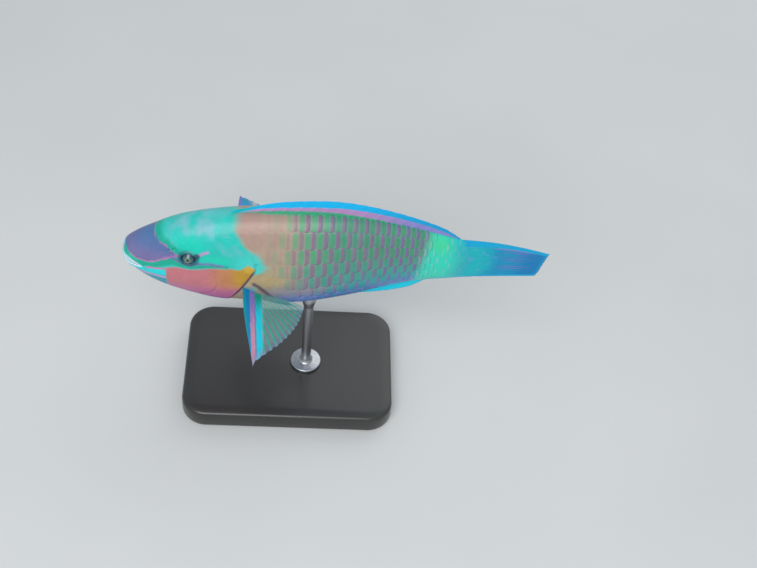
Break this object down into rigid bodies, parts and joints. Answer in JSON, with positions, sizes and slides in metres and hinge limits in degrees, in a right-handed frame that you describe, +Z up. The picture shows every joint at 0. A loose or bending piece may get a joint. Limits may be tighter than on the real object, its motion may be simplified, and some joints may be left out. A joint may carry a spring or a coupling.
{
  "type": "parrotfish model on a stand",
  "caption": "Life-size still parrotfish with a tooth plate beak, spread pectoral fins and a nearly closed tail fin, carried on one rod above a flat base.",
  "frame": {"origin": "middle of the underside of the stand's base", "axes": "+X along the fish from its head towards its tail, +Y to the fish's right, +Z up"},
  "size_m": [0.2815, 0.1515, 0.1821],
  "materials": {
    "skin": "wet satin scales",
    "cheek": "wet satin skin",
    "tooth": "smooth enamel",
    "eye": "clear gloss",
    "fin": "satin membrane with raised rays",
    "stand_rod": "brushed",
    "stand_base": "dark satin lacquer"
  },
  "bodies": {
    "root": {"head": "skin", "lower_jaw": "skin", "torso": "skin", "tail_stalk": "skin", "gill_cover_left": "cheek", "gill_cover_right": "cheek", "upper_beak": "tooth", "lower_beak": "tooth", "eye_left": "eye", "eye_right": "eye", "dorsal_fin": "fin", "anal_fin": "fin", "tail_fin": "fin", "pectoral_fin_left": "fin", "pectoral_fin_right": "fin", "pelvic_fin_left": "fin", "pelvic_fin_right": "fin", "stand_rod": "stand_rod", "stand_base": "stand_base"}
  },
  "joints": []
}
